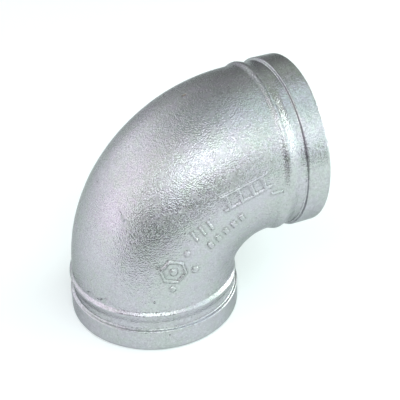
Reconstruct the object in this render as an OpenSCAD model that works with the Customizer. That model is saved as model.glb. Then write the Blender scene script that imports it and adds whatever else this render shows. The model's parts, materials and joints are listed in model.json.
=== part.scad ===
// Grooved-end 90 degree elbow, DN100 (4 in), short radius.
// One hollow casting. It stands on its lower end: the origin is the centre of that end face,
// +Z runs up the lower leg, and the upper leg points along +X.

/* [Elbow] */
// Outside diameter of the pipe, and of the gasket seat at each end
pipe_od = 114.3; // [112:0.1:116]
// Distance from the crossing of the two centre lines to each end face
centre_to_end = 102; // [102:1:130]
// Radius of the bend along its centre line
bend_r = 69; // [64:0.5:69]
// Outside diameter of the body between the shoulder beads
body_d = 110.4; // [108:0.1:112]
// Diameter of the waterway
bore_d = 102; // [96:0.5:103]

/* [Grooved ends] */
// Width of the gasket seat, from the end face to the groove
seat_w = 15.88; // [15:0.01:16]
// Width of the coupling groove's floor
groove_w = 9.53; // [8.8:0.01:9.6]
// Depth of the groove below the gasket seat
groove_depth = 2.11; // [1.8:0.01:2.3]
// Chamfer around the outside of each end face
end_chamfer = 0.8; // [0.4:0.1:1.5]

/* [Shoulder beads] */
// Height of the bead's crest above the body
bead_h = 2; // [1:0.1:4]
// Length of the bead's slope on the groove side
bead_front = 2.4; // [1.5:0.1:3]
// Length of the bead's slope on the body side
bead_back = 3.8; // [2:0.1:4]

/* [Cast marks] */
// Height of the raised marks above the body
mark_h = 0.8; // [0.4:0.1:1.2]
// Width of a raised line in the marks
line_w = 1.5; // [1:0.1:2]

/* [Hidden] */
$fn = 96;

seat_r = pipe_od / 2;
groove_r = seat_r - groove_depth;
body_r = body_d / 2;
bore_r = bore_d / 2;
crest_r = body_r + bead_h;
neck = centre_to_end - bend_r;            // straight length of each leg
crest_s = seat_w + groove_w + bead_front; // crest of the bead, from the end face
bead_steps = 6;                           // cone bands on each slope of the bead
past = 1;                                 // how far a cutter runs past the face it opens

// Half a wave from radius r0 to radius r1 over the stretch s0 to s1: points [radius, distance].
function wave(s0, r0, s1, r1) =
    [for (i = [0 : bead_steps]) let (t = i / bead_steps)
        [r0 + (r1 - r0) * (1 - cos(180 * t)) / 2, s0 + (s1 - s0) * t]];

// Solid of one leg, standing on its end face: seat, groove, shoulder bead and neck.
module leg() {
    rotate_extrude()
        polygon(concat(
            [[0, 0], [seat_r - end_chamfer, 0], [seat_r, end_chamfer]],
            [[seat_r, seat_w], [groove_r, seat_w]],
            wave(crest_s - bead_front, groove_r, crest_s, crest_r),
            [for (p = wave(crest_s, crest_r, crest_s + bead_back, body_r)) if (p[0] < crest_r) p],
            [[body_r, neck], [0, neck]]
        ));
}

// Quarter of a torus of tube radius r, joining the two necks.
module bend(r) {
    translate([bend_r, 0, neck])
        rotate([90, 0, 0])
            rotate([0, 0, 90])
                rotate_extrude(angle = 90)
                    translate([bend_r, 0])
                        circle(r);
}

// Puts a shape made for the lower leg at the upper end too.
module at_both_ends() {
    children();
    translate([centre_to_end, 0, centre_to_end])
        rotate([0, -90, 0])
            children();
}

module waterway() {
    at_both_ends()
        translate([0, 0, -past])
            cylinder(h = neck + past, r = bore_r);
    bend(bore_r);
}

// The marks are laid out flat, with their origin over the middle of the bend's flank, x along
// the chord of the bend and y towards its back.

module bar(length, width) {
    square([length, width], center = true);
}

module hexagon_mark(r) {
    difference() {
        circle(r, $fn = 6);
        circle(r - line_w, $fn = 6);
    }
    circle(r / 4);
}

module bar_row(count, pitch, length, width) {
    for (i = [0 : count - 1])
        translate([(i - (count - 1) / 2) * pitch, 0])
            bar(width, length);
}

module ladder_mark(length, height, rungs) {
    for (side = [-1, 1])
        translate([0, side * (height - line_w) / 2])
            bar(length, line_w);
    bar_row(rungs, length / rungs, height - line_w, line_w);
}

module mark_layout() {
    translate([-34, 4]) hexagon_mark(9);
    translate([-44, -4]) circle(1.8);
    translate([-25, -7]) circle(2.2);
    translate([-19, 6]) circle(1.8);
    translate([-1.5, 8.3]) rotate(-16) bar_row(3, 6, 7, line_w);
    translate([6.6, -6.2]) rotate(-11) bar_row(5, 6.5, 5, 2 * line_w);
    translate([34, 1.5]) rotate(-28) ladder_mark(34, 11, 4);
    translate([45, -17.5]) rotate(-45) bar(8, line_w);
}

// Raised marks: the layout pushed through the flank and cut off mark_h above the body.
module marks() {
    flank = bend_r * (1 - cos(45));
    intersection() {
        bend(body_r + mark_h);
        translate([flank, 0, centre_to_end - flank])
            rotate([90, 0, 0])
                linear_extrude(body_r + mark_h + past)
                    rotate(45)
                        mark_layout();
    }
}

module elbow_casting() {
    color([0.74, 0.77, 0.78])
        difference() {
            union() {
                at_both_ends() leg();
                bend(body_r);
                marks();
            }
            waterway();
        }
}

elbow_casting();
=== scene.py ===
"""Looks of the DN100 grooved elbow: a hot-dip galvanised casting on a pale studio floor.

The casting is one closed mesh, made of rings of points strung along the waterway's centre line.
Its sizes are in millimetres, and become metres when the mesh is made. The studio's are in metres.
"""
import json
import math

import bpy
import numpy as np
from mathutils import Matrix, Vector, noise


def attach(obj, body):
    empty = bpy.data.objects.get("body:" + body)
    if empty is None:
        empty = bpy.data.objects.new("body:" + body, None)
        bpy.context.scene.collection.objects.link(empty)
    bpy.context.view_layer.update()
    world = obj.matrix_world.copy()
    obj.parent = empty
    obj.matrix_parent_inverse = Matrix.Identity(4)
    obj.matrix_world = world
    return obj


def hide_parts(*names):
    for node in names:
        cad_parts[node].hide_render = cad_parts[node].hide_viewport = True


MM = 0.001

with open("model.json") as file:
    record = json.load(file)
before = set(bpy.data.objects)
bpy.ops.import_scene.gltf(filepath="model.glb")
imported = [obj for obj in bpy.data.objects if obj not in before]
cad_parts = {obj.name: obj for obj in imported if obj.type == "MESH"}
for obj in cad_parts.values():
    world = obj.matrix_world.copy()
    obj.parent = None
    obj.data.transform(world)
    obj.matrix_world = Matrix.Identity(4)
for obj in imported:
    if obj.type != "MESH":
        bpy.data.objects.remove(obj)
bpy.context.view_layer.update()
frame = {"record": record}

# ---------------------------------------------------------------- sizes from the frame

mounts = {m["name"]: m for m in frame["record"]["mounts"]}
SEAT_R = mounts["lower_gasket_seat"]["dims"]["r_mm"]
BORE_R = mounts["lower_waterway"]["dims"]["r_mm"]
NECK = mounts["lower_waterway"]["dims"]["length_mm"]
CENTRE_TO_END = mounts["upper_end_face"]["pos_m"][0] / MM
CHAMFER = 0.8            # at the end's edge, which a seat's mount leaves out
SEAT_W = mounts["lower_gasket_seat"]["dims"]["length_mm"] + CHAMFER
GROOVE_DEPTH = 2.11
GROOVE_R = SEAT_R - GROOVE_DEPTH
END_ROUND, BORE_ROUND = 1.8, 0.6     # roundings of an end's outer and inner edge
STEP_FOOT = SEAT_W + 0.2             # where the wall from seat to groove ends, past the CAD's
STEP_DRAFT = {"lower": 0.95, "upper": 0.65}      # how far that wall leans
STEP_ROUND, STEP_FILLET = 0.7, 0.65  # at its top and foot
BODY_R = 55.2
BEAD_H = 1.85
BEAD_CREST = 28.1        # from the end face
BEAD_FRONT = 7.0         # length of the slope on the groove side
BEAD_STRAIGHT = 0.7      # that slope's shape: 0 is an S curve, 1 is straight
BEAD_BACK = {"lower": 2.8, "upper": 4.6}
# The bead dies out between these angles, from the flank towards the elbow's inner corner
BEAD_FADE = math.radians(40), math.radians(78)
BEND_R = CENTRE_TO_END - NECK
ARC = BEND_R * math.pi / 2
LENGTH = 2 * NECK + ARC

# ---------------------------------------------------------------- raised marks

MARK_H = 1.15
LINE_W = 1.5
MARK_EDGE = 0.5       # half width of the slope at a mark's edge
FOOT_SHADE_AT, FOOT_SHADE_REACH = 0.6, 0.9      # painted shade at a mark's foot: distance outside it, and reach
RUNG_W = 1.5 * LINE_W
MARKED_SIDE = -0.8 * BODY_R         # marks stand only on the wall in front of this y
MIDDLE_X = BEND_R * (1 - math.cos(math.pi / 4))      # of the centre line, halfway round the bend
DOTS = [((-44, -4), 1.8), ((-25, -7), 2.2), ((-19, 6), 1.8)]
TALL_TURN, SHORT_TURN, LADDER_TURN, DASH_TURN = -16, -11, -28, -45     # degrees


def bar(u, v, centre, turn, length, width):
    """Signed distance to a bar with rounded corners, in the marks' own plane."""
    c, s = math.cos(math.radians(turn)), math.sin(math.radians(turn))
    du, dv = u - centre[0], v - centre[1]
    x, y = np.abs(c * du + s * dv) - length / 2, np.abs(c * dv - s * du) - width / 2
    return np.hypot(np.maximum(x, 0), np.maximum(y, 0)) + np.minimum(np.maximum(x, y), 0)


def disc(u, v, centre, radius):
    return np.hypot(u - centre[0], v - centre[1]) - radius


def hexagon(u, v, centre, radius):
    """A hexagonal line with a boss in its middle."""
    x, y = np.abs(u - centre[0]), np.abs(v - centre[1])
    across = np.maximum(y, x * math.sin(math.pi / 3) + y / 2)
    outer = across - radius * math.sin(math.pi / 3)
    line = np.abs(outer + LINE_W / 2) - LINE_W / 2
    return np.minimum(line, disc(u, v, centre, radius / 4))


def row(centre, turn, count, pitch):
    """Centres of a row of equal marks."""
    c, s = math.cos(math.radians(turn)), math.sin(math.radians(turn))
    steps = [(i - (count - 1) / 2) * pitch for i in range(count)]
    return [(centre[0] + c * d, centre[1] + s * d) for d in steps]


def ladder(u, v, centre, turn, length, height, rungs):
    c, s = math.cos(math.radians(turn)), math.sin(math.radians(turn))
    shift = (height - LINE_W) / 2
    parts = [bar(u, v, (centre[0] - s * d, centre[1] + c * d), turn, length, LINE_W)
             for d in (-shift, shift)]
    parts += [bar(u, v, p, turn, RUNG_W, height) for p in row(centre, turn, rungs, length / rungs)]
    return np.minimum.reduce(parts)


def mark_distance(u, v):
    """Distance to the nearest mark: from mid-bend, u runs up the bend's chord and v to its back."""
    parts = [disc(u, v, centre, radius) for centre, radius in DOTS]
    parts.append(hexagon(u, v, centre=(-34, 4), radius=9))
    parts += [bar(u, v, p, TALL_TURN, length=LINE_W, width=7)
              for p in row((-1.5, 8.3), TALL_TURN, count=3, pitch=6)]
    parts += [bar(u, v, p, SHORT_TURN, length=2 * LINE_W, width=5)
              for p in row((6.6, -6.2), SHORT_TURN, count=5, pitch=6.5)]
    parts.append(ladder(u, v, (34, 1.5), LADDER_TURN, length=34, height=11, rungs=4))
    parts.append(bar(u, v, (45, -17.5), DASH_TURN, length=8, width=LINE_W))
    return np.minimum.reduce(parts)


# ---------------------------------------------------------------- the casting's mesh

FILLET_STEPS = 4
BEAD_STEPS = 10
LEG_STEP = 2.5        # longest gap between rings on a leg
BEND_STEP = 0.42      # spacing of rings along the bend
BORE_RINGS = 30
LIP = 4               # depth of the bore's first ring inside an end face
MARK_SPAN = math.radians(27), math.radians(21)   # flank angles of the fine columns: inner, outer
FINE_COLUMNS = 106
PLAIN_COLUMNS = 130
SUPPORT = 1.5         # a rounded corner has a point on each side, this many cuts away from it
SWELL, SWELL_H = 38, 0.10           # length and height of the as-cast wall's slow waves
RIPPLE, RIPPLE_H = 11, 0.035        # and of its quick ones
RIPPLE_SHIFT = Vector((7, 3, 5))    # keeps the two out of step
TURNED_END, TURNED_FADE = BEAD_CREST + 0.5, 2.5     # the turned look ends here, fading over this


def smooth(x):
    """Smooth step from 0 at x = 0 to 1 at x = 1."""
    t = np.clip(x, 0, 1)
    return t * t * (3 - 2 * t)


def rounded(corners):
    """Points along a polyline whose corners (s, r, cut) are rounded off, a cut back from each."""
    points = []
    for i, (s, r, cut) in enumerate(corners):
        here = np.array([s, r])
        if cut == 0:
            points.append(here)
            continue
        back = np.array(corners[i - 1][:2]) - here
        ahead = np.array(corners[i + 1][:2]) - here
        back, ahead = back / np.linalg.norm(back), ahead / np.linalg.norm(ahead)
        points.append(here + SUPPORT * cut * back)
        for t in np.linspace(0, 1, FILLET_STEPS + 1):
            points.append(here + cut * ((1 - t) ** 2 * back + t * t * ahead))
        points.append(here + SUPPORT * cut * ahead)
    return points


def filled(points):
    """The same polyline with extra points, so that no gap is longer than LEG_STEP."""
    dense = [points[0]]
    for a, b in zip(points, points[1:]):
        count = max(1, math.ceil(np.linalg.norm(b - a) / LEG_STEP))
        dense += [a + (b - a) * k / count for k in range(1, count + 1)]
    return dense


def leg_profile(name):
    """A leg from its bore's edge to the foot of its bead: (distance from the end face, radius)."""
    corners = [
        (LIP, BORE_R, 0),
        (0, BORE_R, BORE_ROUND),
        (0, SEAT_R, END_ROUND),
        (STEP_FOOT - STEP_DRAFT[name], SEAT_R, STEP_ROUND),
        (STEP_FOOT, GROOVE_R, STEP_FILLET),
        (BEAD_CREST - BEAD_FRONT, GROOVE_R, 0),
    ]
    return filled(rounded(corners)[1:])


def leg(name, kept):
    """Rings of a leg, where the share kept of its bead is left: (distance from the end, radius)."""
    crest = BODY_R + BEAD_H * kept
    steps = np.arange(1, BEAD_STEPS + 1) / BEAD_STEPS
    rise = (1 - BEAD_STRAIGHT) * smooth(steps) + BEAD_STRAIGHT * steps
    front = [(BEAD_CREST - BEAD_FRONT * (1 - x), GROOVE_R + (crest - GROOVE_R) * y)
             for x, y in zip(steps, rise)]
    back = [(BEAD_CREST + BEAD_BACK[name] * x, crest + (BODY_R - crest) * smooth(x)) for x in steps]
    return [(s, r * np.ones_like(kept)) for s, r in leg_profile(name)] + front + back


def centre_line(t):
    """Point and outward direction (to the back of the bend) at distance t along the centre line."""
    turn = np.clip((t - NECK) / BEND_R, 0, math.pi / 2)
    x = BEND_R * (1 - math.cos(turn)) + max(t - NECK - ARC, 0)
    z = min(t, NECK) + BEND_R * math.sin(turn)
    return np.array([x, 0, z]), np.array([-math.cos(turn), 0, math.sin(turn)])


def rings(phi):
    """(distance along the centre line, radius at each column, is outside) once round the wall."""
    inner_angle = np.maximum(np.arctan2(-np.sin(phi), np.abs(np.cos(phi))), 0)
    kept = 1 - smooth((inner_angle - BEAD_FADE[0]) / (BEAD_FADE[1] - BEAD_FADE[0]))
    flat = np.ones_like(phi)
    lower = [(s, r, True) for s, r in leg("lower", kept)]
    steps = round(ARC / BEND_STEP) + 1
    bend = [(t, BODY_R * flat, True) for t in np.linspace(NECK, NECK + ARC, steps)]
    upper = [(LENGTH - s, r, True) for s, r in reversed(leg("upper", kept))]
    bore = [(t, BORE_R * flat, False) for t in np.linspace(LENGTH - LIP, LIP, BORE_RINGS)]
    return lower + bend + upper + bore


def columns():
    """Angle of each column of points: 0 at the marked flank, positive to the back of the bend."""
    inner, outer = MARK_SPAN
    fine = np.linspace(-inner, outer, FINE_COLUMNS)
    plain = np.linspace(outer, 2 * math.pi - inner, PLAIN_COLUMNS + 2)[1:-1]
    return np.concatenate([fine, plain])


def unevenness(p):
    """Waviness of the as-cast wall, in mm, at a point in mm."""
    slow = noise.noise(Vector(p) / SWELL)
    quick = noise.noise(Vector(p) / RIPPLE + RIPPLE_SHIFT)
    return SWELL_H * slow + RIPPLE_H * quick


def wall_place(t, phi):
    """Place on the wall as if the pipe were straight: mm along it, and across it to each side."""
    return np.stack([np.full_like(phi, t), BODY_R * np.cos(phi), BODY_R * np.sin(phi)], -1)


def add_attributes(mesh, phi, foot):
    """Where the wall looks turned (the grooved ends), the painted shade at the marks' feet, and each
    point's wall_place.
    """
    turned, place = [], []
    for t, _, _ in rings(phi):
        s = min(t, LENGTH - t)
        turned += [1 - smooth((s - TURNED_END) / TURNED_FADE)] * len(phi)
        place.append(wall_place(t, phi))
    for name, kind, field, values in (("turned", "FLOAT", "value", np.array(turned)),
                                      ("mark_foot_shade", "FLOAT", "value", foot),
                                      ("wall_place", "FLOAT_VECTOR", "vector", np.concatenate(place))):
        layer = mesh.attributes.new(name, kind, "POINT")
        layer.data.foreach_set(field, values.astype(np.float32).ravel())


def casting_mesh():
    phi = columns()
    side = np.array([0, -1, 0])
    points, normals, outside = [], [], []
    for t, r, is_outside in rings(phi):
        centre, back = centre_line(t)
        out = np.cos(phi)[:, None] * side + np.sin(phi)[:, None] * back
        points.append(centre + r[:, None] * out)
        normals.append(out)
        outside.append(is_outside)
    points, normals = np.array(points), np.array(normals)
    u = (points[..., 0] + points[..., 2] - CENTRE_TO_END) / math.sqrt(2)
    v = (points[..., 2] - points[..., 0] - CENTRE_TO_END + 2 * MIDDLE_X) / math.sqrt(2)
    marked = np.array(outside)[:, None] & (points[..., 1] < MARKED_SIDE)
    near = np.where(marked, mark_distance(u, v), np.inf)
    lift = MARK_H * smooth(0.5 - near / (2 * MARK_EDGE))
    # a band just outside each mark's edge, which the colour darkens as painted shade
    foot = smooth(1 - np.abs(near - FOOT_SHADE_AT) / FOOT_SHADE_REACH)
    wavy = np.array([[unevenness(p) for p in ring] for ring in points])
    points = points + (lift + wavy)[..., None] * normals
    index = np.arange(points.shape[0] * points.shape[1]).reshape(points.shape[:2])
    a, b = index, np.roll(index, -1, 0)
    quads = np.stack([a, np.roll(a, -1, 1), np.roll(b, -1, 1), b], -1).reshape(-1, 4)
    mesh = bpy.data.meshes.new("elbow_casting_skin")
    mesh.from_pydata((points.reshape(-1, 3) * MM).tolist(), [], quads.tolist())
    mesh.validate()
    mesh.shade_smooth()
    add_attributes(mesh, phi, foot)
    return mesh


# ---------------------------------------------------------------- galvanised finish

ZINC_TONES = [(0.28, (0.44, 0.475, 0.47)), (0.42, (0.48, 0.50, 0.49)),
              (0.58, (0.50, 0.49, 0.53)), (0.74, (0.54, 0.55, 0.555))]
HUES = [(0.38, (0.98, 1.0, 0.99)), (0.62, (1.0, 0.985, 1.0))]
METALLIC = 0.9
EDGE_TINT = (0.5, 0.52, 0.52, 1)      # makes the metal dull at a grazing angle
ROUGHNESS = 0.20, 0.29
TURNED_SHINE = 0.04       # how much less rough the turned ends are
GRAIN = 0.8 * MM          # size of the sand grain under the zinc
GRAIN_HEIGHT = 0.33 * MM
DIMPLE = 2.6 * MM         # size of the shallow dimples
HUE_PATCH = 7 * MM        # size of the greenish and lilac patches
SHEEN_PATCH = 6.8 * MM    # size of the rougher and smoother patches
MOTTLE = 4 * MM           # size of the blotches in the zinc
STAIN = 2.2 * MM          # size of the stains on the turned ends
CLOUD = 24 * MM           # size of the zinc's large cloudy patches
STREAK_PITCH = 0.7        # width of a turning streak, in mm along the leg
STREAK_LENGTH = 22        # its length round the leg, in mm
NOISE_RANGE, STAIN_RANGE = (0.3, 0.7), (0.35, 0.65)      # the stretch of a noise that is used

# How dark and how light each makes the zinc
SPECKLES, STREAKS, STAINS = (0.88, 1.10), (0.96, 1.03), (0.93, 1.05)
# Heights in the relief, where the sand grain's is 1
DIMPLES_H, STREAKS_H, PITS_H, LUMPS_H, TURNED_GRAIN_H = 0.45, 0.12, -0.9, 1.2, 0.6
# How far each one's colour covers the zinc; at the marks' feet that colour is painted shade
PITS_COVER, FOOT_SHADE_COVER, LUMPS_COVER = 0.4, 0.35, 0.6
# dark zinc in the pits, and also the painted shade at the marks' feet
DARK_ZINC_AND_PAINTED_SHADE, RUSTY_ZINC = (0.2, 0.2, 0.2, 1), (0.50, 0.40, 0.27, 1)

# Larger flaws: mm along the centre line, angle from the marked flank, radius or half length in mm
LUMPS = [(118, 94, 1.4)]
PITS = [(75, 101, 1.0), (74, 93, 1.1), (37.5, 21, 1.0), (29, 17, 0.8), (158, 2, 1.0), (12, 12, 1.0)]
WRINKLES = [(33.5, 60, 17), (71.5, 58, 7)]
WRINKLE_W = 0.7           # half width of a wrinkle, in mm
WRINKLE_DEPTH = 0.8       # beside a pit's
WAVER = 9                 # length of a wrinkle's bends, and twice the most they reach, in mm
FLAW_CORE = 0.3           # share of a flaw's radius that is at full strength
WRINKLE_CORE = 0.5        # the same along a wrinkle


class Nodes:
    """Short names for adding and linking the nodes of one material."""

    def __init__(self, material):
        material.use_nodes = True
        self.tree = material.node_tree
        self.shader = self.tree.nodes["Principled BSDF"]
        self.where = self.add("ShaderNodeTexCoord").outputs["Object"]

    def add(self, kind, **inputs):
        node = self.tree.nodes.new(kind)
        for name, value in inputs.items():
            self.put(node.inputs[name], value)
        return node

    def put(self, socket, value):
        if isinstance(value, bpy.types.NodeSocket):
            self.tree.links.new(value, socket)
        else:
            socket.default_value = value

    def noise(self, size, detail=2, rough=0.5, where=None):
        """Noise with features of that size in metres, from 0 to 1."""
        node = self.add("ShaderNodeTexNoise", Scale=1 / size, Detail=detail, Roughness=rough,
                        Vector=where or self.where)
        return node.outputs["Fac"]

    def attribute(self, name):
        node = self.tree.nodes.new("ShaderNodeAttribute")
        node.attribute_name = name
        return node

    def span(self, value, low, high, to_low=0.0, to_high=1.0):
        """The value's stretch from low to high, mapped smoothly to that from to_low to to_high."""
        node = self.tree.nodes.new("ShaderNodeMapRange")
        node.interpolation_type = "SMOOTHSTEP"
        for name, number in (("Value", value), ("From Min", low), ("From Max", high),
                             ("To Min", to_low), ("To Max", to_high)):
            self.put(node.inputs[name], number)
        return node.outputs["Result"]

    def operate(self, kind, operation, a, b):
        """A node of that kind, for an operation on a and b."""
        node = self.tree.nodes.new(kind)
        node.operation = operation
        self.put(node.inputs[0], a)
        self.put(node.inputs[1], b)
        return node

    def plus(self, a, b):
        return self.operate("ShaderNodeMath", "ADD", a, b).outputs["Value"]

    def minus(self, a, b):
        return self.operate("ShaderNodeMath", "SUBTRACT", a, b).outputs["Value"]

    def times(self, a, b):
        return self.operate("ShaderNodeMath", "MULTIPLY", a, b).outputs["Value"]

    def larger(self, a, b):
        return self.operate("ShaderNodeMath", "MAXIMUM", a, b).outputs["Value"]

    def is_less(self, a, b):
        return self.operate("ShaderNodeMath", "LESS_THAN", a, b).outputs["Value"]

    def size_of(self, a):
        return self.operate("ShaderNodeMath", "ABSOLUTE", a, 0).outputs["Value"]

    def distance(self, a, b):
        return self.operate("ShaderNodeVectorMath", "DISTANCE", a, b).outputs["Value"]

    def stretched(self, place, factors):
        return self.operate("ShaderNodeVectorMath", "MULTIPLY", place, factors).outputs["Vector"]

    def grey(self, value):
        return self.add("ShaderNodeCombineColor", Red=value, Green=value, Blue=value).outputs["Color"]

    def ramp(self, value, stops):
        node = self.add("ShaderNodeValToRGB", Fac=value)
        elements = node.color_ramp.elements
        for place, _ in stops[2:]:
            elements.new(place)
        for element, (place, colour) in zip(elements, stops):
            element.position = place
            element.color = (*colour, 1)
        return node.outputs["Color"]

    def mix(self, share, a, b, kind="MIX"):
        node = self.tree.nodes.new("ShaderNodeMix")
        node.data_type = "RGBA"
        node.blend_type = kind
        self.put(node.inputs[0], share)
        self.put(node.inputs[6], a)
        self.put(node.inputs[7], b)
        return node.outputs[2]


def flaws(n, places, here, core=FLAW_CORE):
    """1 at the listed flaws, 0 from their radius on."""
    total = 0.0
    for t, angle, radius in places:
        spot = wall_place(t, np.array([math.radians(angle)]))[0]
        total = n.larger(total, n.span(n.distance(here, spot), radius, core * radius))
    return total


def wrinkles(n, here):
    """Wavering lines along the rings, where the iron met half set."""
    along = n.add("ShaderNodeSeparateXYZ", Vector=here).outputs["X"]
    waver = n.times(n.minus(n.noise(WAVER * MM), 0.5), WAVER)
    total = 0.0
    for t, angle, reach in WRINKLES:
        away = n.size_of(n.minus(n.plus(along, waver), t))
        ends = flaws(n, [(t, angle, reach)], here, WRINKLE_CORE)
        total = n.larger(total, n.times(n.span(away, WRINKLE_W, 0.0), ends))
    return n.times(total, WRINKLE_DEPTH)


def pits(n, spacing, share, radius):
    """1 in the middle of scattered round pits, 0 elsewhere."""
    cells = n.add("ShaderNodeTexVoronoi", Scale=1 / spacing, Vector=n.where)
    draw = n.add("ShaderNodeSeparateColor", Color=cells.outputs["Color"]).outputs["Red"]
    return n.times(n.is_less(draw, share), n.span(cells.outputs["Distance"], radius / spacing, 0.0))


def zinc_colour(n, turned, streak_place, sand, spots, lumps):
    """Cloudy tones, blotches and fine speckle, with dark zinc in pits and painted shade at the marks'
    feet.
    """
    clouds, blotches = n.noise(CLOUD), n.noise(MOTTLE, detail=3, rough=0.6)
    colour = n.ramp(n.plus(n.times(clouds, 0.5), n.times(blotches, 0.5)), ZINC_TONES)
    colour = n.mix(1.0, colour, n.ramp(n.noise(HUE_PATCH), HUES), "MULTIPLY")
    streaks = n.noise(1, detail=3, rough=0.6, where=streak_place)
    ends = n.times(n.span(streaks, *NOISE_RANGE, *STREAKS), n.span(n.noise(STAIN), *STAIN_RANGE, *STAINS))
    ends = n.plus(1, n.times(turned, n.minus(ends, 1)))
    # the speckle follows the sand grain's relief, darker in its hollows: partly dull zinc there, partly
    # painted shade of the hollows
    shade = n.times(n.span(sand, *NOISE_RANGE, *SPECKLES), ends)
    colour = n.mix(1.0, colour, n.grey(shade), "MULTIPLY")
    colour = n.mix(n.times(spots, PITS_COVER), colour, DARK_ZINC_AND_PAINTED_SHADE)
    colour = n.mix(n.times(lumps, LUMPS_COVER), colour, RUSTY_ZINC)
    # painted shade at the marks' feet, laid over the zinc's colour
    foot_shade = n.attribute("mark_foot_shade").outputs["Fac"]
    return n.mix(n.times(foot_shade, FOOT_SHADE_COVER), colour, DARK_ZINC_AND_PAINTED_SHADE)


def zinc_relief(n, turned, streak_place, sand, spots, lumps):
    """Sand grain, shallow dimples, turning streaks at the ends, pits and lumps."""
    relief = n.times(sand, n.span(turned, 0, 1, 1.0, TURNED_GRAIN_H))
    relief = n.plus(relief, n.times(n.noise(DIMPLE), DIMPLES_H))
    streaks = n.times(turned, n.noise(1, where=streak_place))
    relief = n.plus(relief, n.times(streaks, STREAKS_H))
    relief = n.plus(relief, n.times(spots, PITS_H))
    return n.plus(relief, n.times(lumps, LUMPS_H))


def galvanised():
    material = bpy.data.materials.new("galvanised_finish")
    n = Nodes(material)
    turned = n.attribute("turned").outputs["Fac"]
    here = n.attribute("wall_place").outputs["Vector"]
    streak_place = n.stretched(here, (1 / STREAK_PITCH, 1 / STREAK_LENGTH, 1 / STREAK_LENGTH))
    sand = n.noise(GRAIN, detail=1, rough=0.35)
    small = pits(n, spacing=6 * MM, share=0.16, radius=0.55 * MM)
    large = pits(n, spacing=17 * MM, share=0.3, radius=0.9 * MM)
    spots = n.larger(n.larger(small, large), flaws(n, PITS, here))
    spots = n.larger(spots, wrinkles(n, here))
    layers = turned, streak_place, sand, spots, flaws(n, LUMPS, here)

    n.put(n.shader.inputs["Base Color"], zinc_colour(n, *layers))
    n.put(n.shader.inputs["Metallic"], METALLIC)
    n.put(n.shader.inputs["Specular Tint"], EDGE_TINT)
    patches = n.noise(SHEEN_PATCH, detail=3, rough=0.6)
    rough = n.minus(n.span(patches, *NOISE_RANGE, *ROUGHNESS), n.times(turned, TURNED_SHINE))
    n.put(n.shader.inputs["Roughness"], rough)
    bump = n.add("ShaderNodeBump", Strength=1.0, Distance=GRAIN_HEIGHT, Height=zinc_relief(n, *layers))
    n.put(n.shader.inputs["Normal"], bump.outputs["Normal"])
    return material


# ---------------------------------------------------------------- camera, lights and studio

def place(obj, axes, location):
    """Sets an object's place from its x, y and z axes and its location in metres."""
    turned = Matrix([axes[0], axes[1], axes[2]]).transposed().to_4x4()
    obj.matrix_world = Matrix.Translation(location) @ turned


def direction(azimuth, elevation):
    a, e = math.radians(azimuth), math.radians(elevation)
    return Vector((math.sin(a) * math.cos(e), -math.cos(a) * math.cos(e), math.sin(e)))


def facing(azimuth, elevation, roll=0):
    """Axes of something that stands at that azimuth and elevation and faces the middle."""
    back = direction(azimuth, elevation)
    right = Vector((0, 0, 1)).cross(back).normalized()
    up = back.cross(right)
    c, s = math.cos(math.radians(roll)), math.sin(math.radians(roll))
    return c * right + s * up, c * up - s * right, back


VIEW = {"azimuth": -23.25, "elevation": 34.6, "roll": -1.24}
VIEW_DISTANCE = 0.728
FOCAL_PIXELS = 1130
AIM_RIGHT, AIM_UP = 33.0, -18.0      # from the legs' crossing to the middle of the view, in mm
FRAME_WIDTH = 400
SENSOR = 36
NEAREST, FARTHEST = 0.05, 50         # limits of what the camera sees


def add_camera():
    data = bpy.data.cameras.new("camera")
    data.sensor_width = SENSOR
    data.lens = FOCAL_PIXELS * SENSOR / FRAME_WIDTH
    data.clip_start = NEAREST
    data.clip_end = FARTHEST
    camera = bpy.data.objects.new("camera", data)
    bpy.context.scene.collection.objects.link(camera)
    axes = facing(**VIEW)
    crossing = Vector((0, 0, CENTRE_TO_END * MM))
    aim = crossing + (AIM_RIGHT * axes[0] + AIM_UP * axes[1]) * MM
    place(camera, axes, aim + VIEW_DISTANCE * axes[2])
    bpy.context.scene.camera = camera
    return camera


LIGHT_DISTANCE = 1.4
STUDIO = Vector((0.02, 0, 0.08))     # the point that the lights face
LIGHT_SIZE = 1.2
# name: azimuth, elevation, power, tint. The low ones reach below the floor.
LIGHTS = {
    "front": (0, 40, 4.0, (0.95, 1.0, 0.97)),
    "front_left": (-30, 40, 6.3, (0.92, 0.99, 1.0)),
    "front_right": (45, 22, 5.6, (0.86, 1.0, 0.98)),
    "right_low": (90, 6, 18.6, (0.92, 1.0, 0.94)),
    "right_top": (60, 65, 3.6, (0.80, 0.94, 1.0)),
    "right_back": (120, 40, 1.1, (0.82, 1.0, 0.80)),
    "left_low": (-90, 6, 4.8, (0.96, 0.89, 1.0)),
    "left": (-90, 40, 3.2, (1.0, 0.94, 0.98)),
    "left_top": (-120, 65, 1.1, (0.75, 1.0, 0.88)),
    "back_left": (-135, 22, 4.0, (0.95, 0.95, 1.0)),
    "back": (-165, 22, 1.6, (0.93, 0.94, 1.0)),
}


def add_light(name, azimuth, elevation, power, tint):
    data = bpy.data.lights.new(name, "AREA")
    data.shape = "DISK"
    data.size = LIGHT_SIZE
    data.energy = power
    data.color = tint
    lamp = bpy.data.objects.new(name, data)
    bpy.context.scene.collection.objects.link(lamp)
    axes = facing(azimuth, elevation)
    place(lamp, axes, STUDIO + LIGHT_DISTANCE * axes[2])
    lamp.visible_camera = False
    return lamp


AMBIENT = 0.25


def add_world(strength):
    world = bpy.data.worlds.new("studio")
    world.use_nodes = True
    background = world.node_tree.nodes["Background"]
    background.inputs["Color"].default_value = (1, 1, 1, 1)
    background.inputs["Strength"].default_value = strength
    bpy.context.scene.world = world


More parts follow.
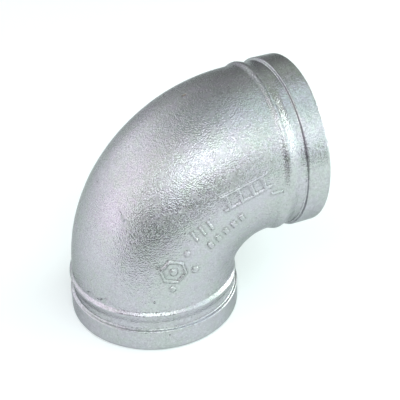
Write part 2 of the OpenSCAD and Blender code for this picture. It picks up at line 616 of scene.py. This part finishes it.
def staged(name, points, faces, finish):
    """A plain thing of the studio, which isn't part of the casting, with its shader's values."""
    mesh = bpy.data.meshes.new(name)
    mesh.from_pydata(points, [], faces)
    material = bpy.data.materials.new(name)
    material.use_nodes = True
    shader = material.node_tree.nodes["Principled BSDF"]
    for socket, value in finish.items():
        shader.inputs[socket].default_value = value
    mesh.materials.append(material)
    thing = bpy.data.objects.new(name, mesh)
    bpy.context.scene.collection.objects.link(thing)
    return thing


ONE_FACE = [(0, 1, 2, 3)]
FLOOR_HALF = 6
FLOOR_DROP = 0.0002       # below the casting's foot, so that the two don't share a plane
FLOOR_FINISH = {          # like a faintly lit light table
    "Base Color": (0.95, 0.95, 0.95, 1),
    "Roughness": 0.9,
    "Emission Color": (0.088, 0.12, 0.116, 1),
    "Emission Strength": 1,
}


def add_floor():
    h = FLOOR_HALF
    floor = staged("floor", [(-h, -h, 0), (h, -h, 0), (h, h, 0), (-h, h, 0)], ONE_FACE, FLOOR_FINISH)
    floor.location.z = -FLOOR_DROP
    return floor


CARD_AZIMUTH = -36
CARD_DISTANCE = 0.36
CARD_WIDTH, CARD_HEIGHT = 0.32, 0.15
CARD_FINISH = {"Base Color": (0.04, 0.04, 0.04, 1)}


def add_card():
    """A black card low in front, which shows only in the casting's reflections."""
    x, y = CARD_WIDTH / 2, CARD_HEIGHT
    card = staged("black_card", [(-x, 0, 0), (x, 0, 0), (x, y, 0), (-x, y, 0)], ONE_FACE, CARD_FINISH)
    axes = facing(CARD_AZIMUTH, 0)
    place(card, axes, CARD_DISTANCE * axes[2])
    card.visible_camera = False
    card.visible_shadow = False
    card.visible_diffuse = False
    return card


BACKDROP_RADIUS, BACKDROP_HEIGHT, BACKDROP_SIDES = 1.25, 1.5, 64
BACKDROP_FINISH = {
    "Base Color": (0, 0, 0, 1),
    "Specular IOR Level": 0,
    "Emission Color": (1, 1, 1, 1),
    "Emission Strength": 1,
}


def add_backdrop():
    """A pale round wall that only the camera sees. It hides the floor's far edge from low views."""
    count = BACKDROP_SIDES
    turns = [2 * math.pi * i / count for i in range(count)]
    foot = [(BACKDROP_RADIUS * math.cos(a), BACKDROP_RADIUS * math.sin(a), 0) for a in turns]
    top = [(x, y, BACKDROP_HEIGHT) for x, y, _ in foot]
    sides = [(i, (i + 1) % count, count + (i + 1) % count, count + i) for i in range(count)]
    wall = staged("backdrop", foot + top, sides, BACKDROP_FINISH)
    wall.visible_shadow = False
    wall.visible_diffuse = False
    wall.visible_glossy = False
    return wall


# ---------------------------------------------------------------- the scene

skin = bpy.data.objects.new("elbow_casting_skin", casting_mesh())
bpy.context.scene.collection.objects.link(skin)
skin.data.materials.append(galvanised())
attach(skin, "root")
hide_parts("elbow_casting")

add_camera()
for name, settings in LIGHTS.items():
    add_light(name, *settings)
add_world(AMBIENT)
add_floor()
add_card()
add_backdrop()
bpy.context.scene.view_settings.view_transform = "Standard"
